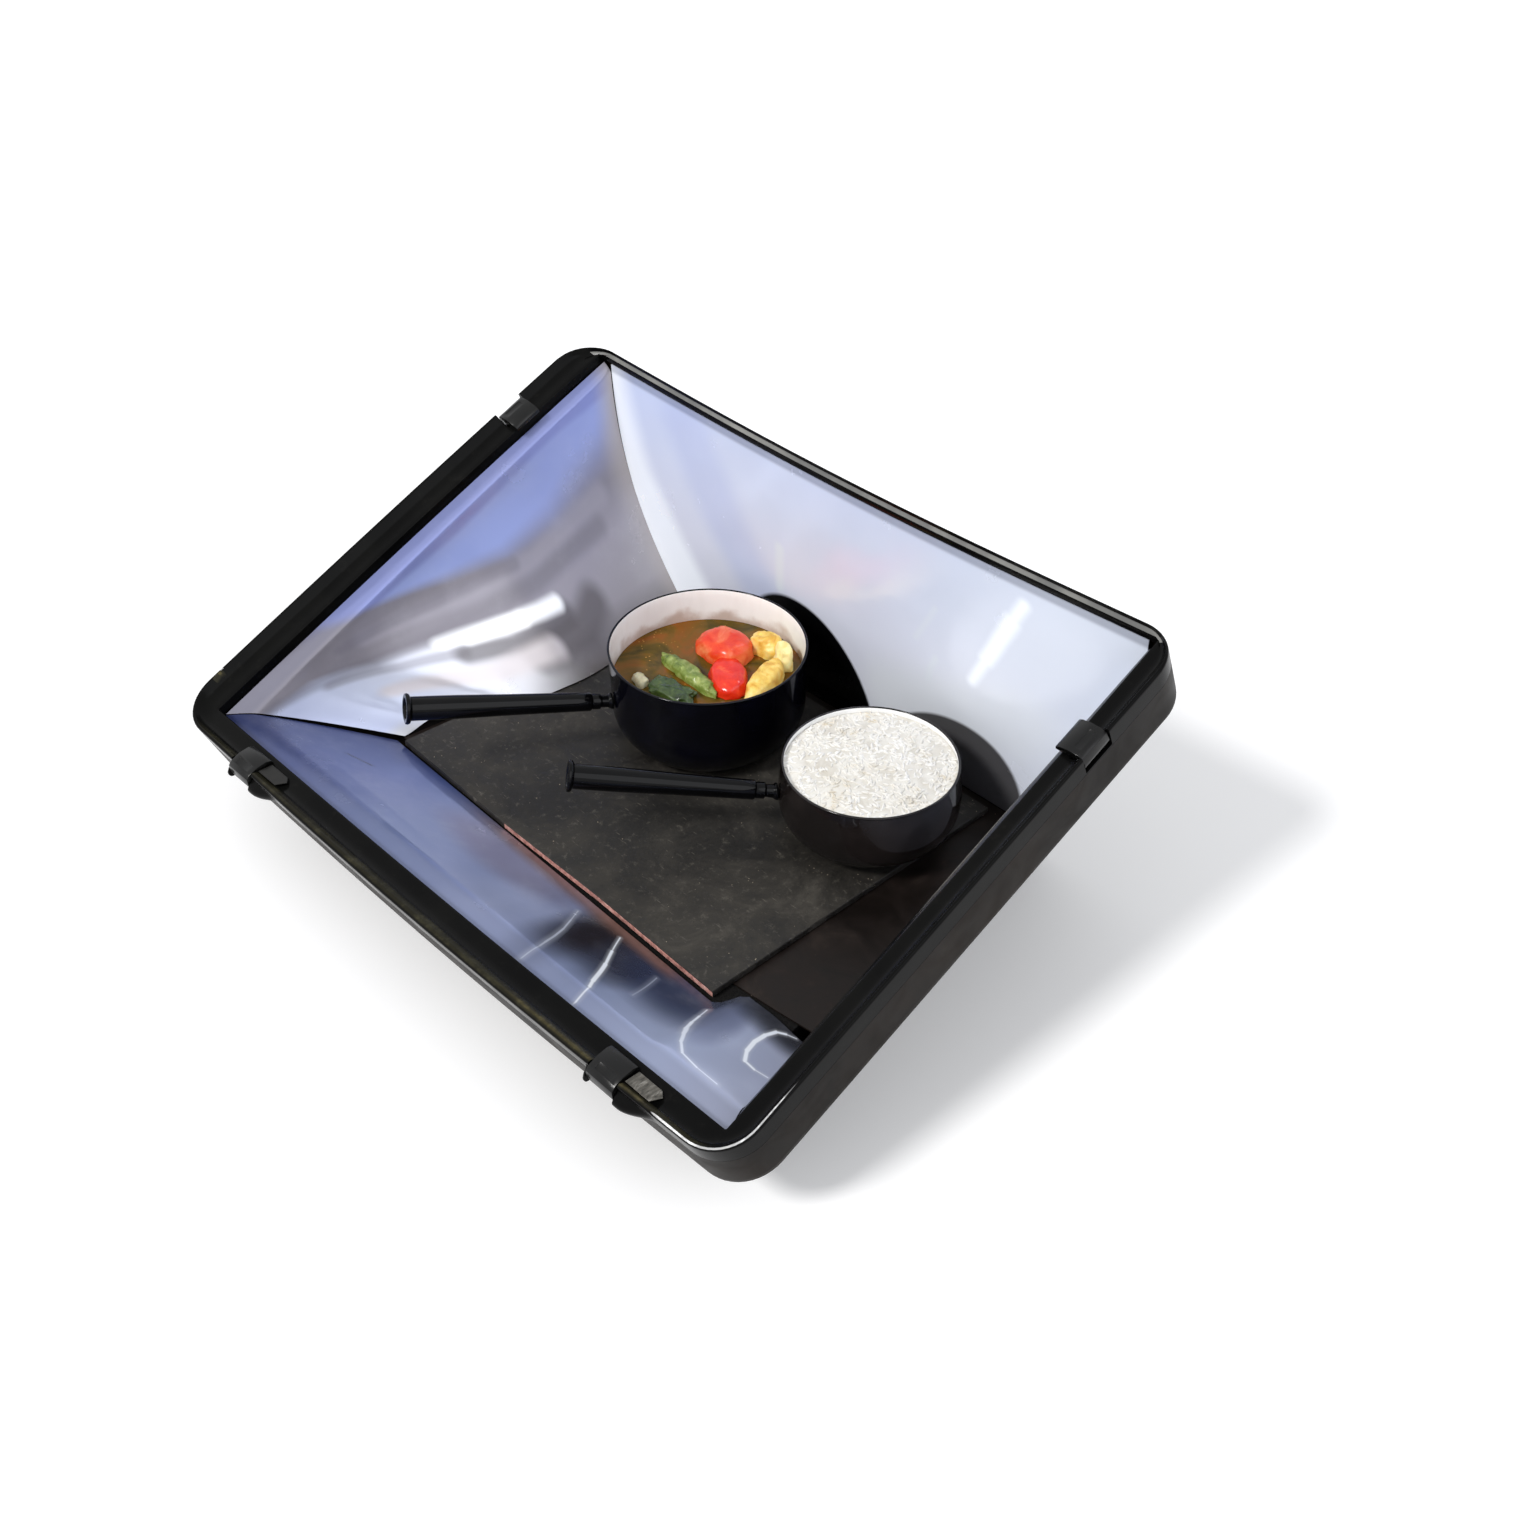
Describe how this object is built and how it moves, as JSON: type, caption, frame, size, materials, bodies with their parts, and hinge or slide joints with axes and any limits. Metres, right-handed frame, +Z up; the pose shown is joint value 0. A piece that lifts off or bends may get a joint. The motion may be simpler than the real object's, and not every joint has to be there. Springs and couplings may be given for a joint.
{
  "type": "solar cooker",
  "caption": "Box solar cooker with a tilted mouth, curved mirror walls, a dark floor slab, flip clips for the cover, and enamel saucepans of stew and rice.",
  "frame": {"origin": "on the ground, under the middle of the cooker's overall box", "axes": "+X along the low front edge to the right, +Y from the low front edge to the high back, +Z up"},
  "size_m": [0.64, 0.4666, 0.2783],
  "materials": {
    "case_plastic": "black moulded plastic, slightly brown where lit",
    "rim_plastic": "glossy black moulded plastic",
    "mirror_sheet": "polished reflector sheet with soft waves",
    "dark_metal": "dark brown-black painted metal, semi-gloss",
    "mat_slate": "dark mottled slab with a reddish cut edge",
    "foam": "dark insulation",
    "foot_rubber": "matte black rubber",
    "steel": "zinc-plated steel",
    "clip_plastic": "glossy black moulded plastic",
    "grey_plate": "dull grey metal",
    "pan_enamel": "glossy blue-black enamel on steel, white inside",
    "handle_enamel": "glossy black enamel",
    "broth": "brown-orange liquid, wet gloss",
    "tomato": "wet red flesh",
    "potato": "boiled, soft yellow",
    "pepper": "cooked green, wet gloss",
    "onion": "translucent pale",
    "rice": "cooked white grains"
  },
  "bodies": {
    "root": {"case_shell": "case_plastic", "rim_frame": "rim_plastic", "reflector_front": "mirror_sheet", "reflector_back": "mirror_sheet", "reflector_left": "mirror_sheet", "reflector_right": "mirror_sheet", "floor_plate": "dark_metal", "absorber_mat": "mat_slate", "insulation_floor": "foam", "insulation_front": "foam", "insulation_left": "foam", "insulation_right": "foam", "foot_front_left": "foot_rubber", "foot_screw_front_left": "steel", "foot_front_right": "foot_rubber", "foot_screw_front_right": "steel", "foot_back_left": "foot_rubber", "foot_screw_back_left": "steel", "foot_back_right": "foot_rubber", "foot_screw_back_right": "steel", "clip_pin_front_left": "steel", "clip_pin_front_right": "steel", "clip_pin_left": "steel", "clip_pin_right": "steel", "strike_plate_left": "grey_plate", "strike_plate_right": "grey_plate"},
    "clip_front_left": {"clip_front_left": "clip_plastic"},
    "clip_front_right": {"clip_front_right": "clip_plastic"},
    "clip_left": {"clip_left": "clip_plastic"},
    "clip_right": {"clip_right": "clip_plastic"},
    "large_pan_lift": {"large_pan": "pan_enamel", "large_pan_socket": "handle_enamel", "large_pan_handle": "handle_enamel", "large_pan_end_ring": "handle_enamel", "stew_broth": "broth", "tomato_half": "tomato", "tomato_wedge": "tomato", "potato_chunk": "potato", "potato_cube": "potato", "potato_slice": "potato", "pepper_strip": "pepper", "pepper_leaf": "pepper", "onion_piece": "onion"},
    "small_pan_lift": {"small_pan": "pan_enamel", "small_pan_socket": "handle_enamel", "small_pan_handle": "handle_enamel", "small_pan_end_ring": "handle_enamel", "rice": "rice"}
  },
  "joints": [
    {"name": "clip_front_left_flip", "type": "hinge", "parent": "root", "child": "clip_front_left", "pos_m": [-0.221, -0.22396, 0.09334], "axis": [1, 0, 0], "range_deg": [0, 105]},
    {"name": "clip_front_right_flip", "type": "hinge", "parent": "root", "child": "clip_front_right", "pos_m": [0.209, -0.22396, 0.09334], "axis": [1, 0, 0], "range_deg": [0, 105]},
    {"name": "clip_left_flip", "type": "hinge", "parent": "root", "child": "clip_left", "pos_m": [-0.3125, 0.12128, 0.23847], "axis": [0, -0.9219, -0.3875], "range_deg": [0, 105]},
    {"name": "clip_right_flip", "type": "hinge", "parent": "root", "child": "clip_right", "pos_m": [0.3125, 0.11483, 0.23575], "axis": [0, 0.9219, 0.3875], "range_deg": [0, 105]},
    {"name": "large_pan_lift_out", "type": "slide", "parent": "root", "child": "large_pan_lift", "axis": [0, 0, 1], "range_m": [0, 0.25]},
    {"name": "small_pan_lift_out", "type": "slide", "parent": "root", "child": "small_pan_lift", "axis": [0, 0, 1], "range_m": [0, 0.25]}
  ]
}
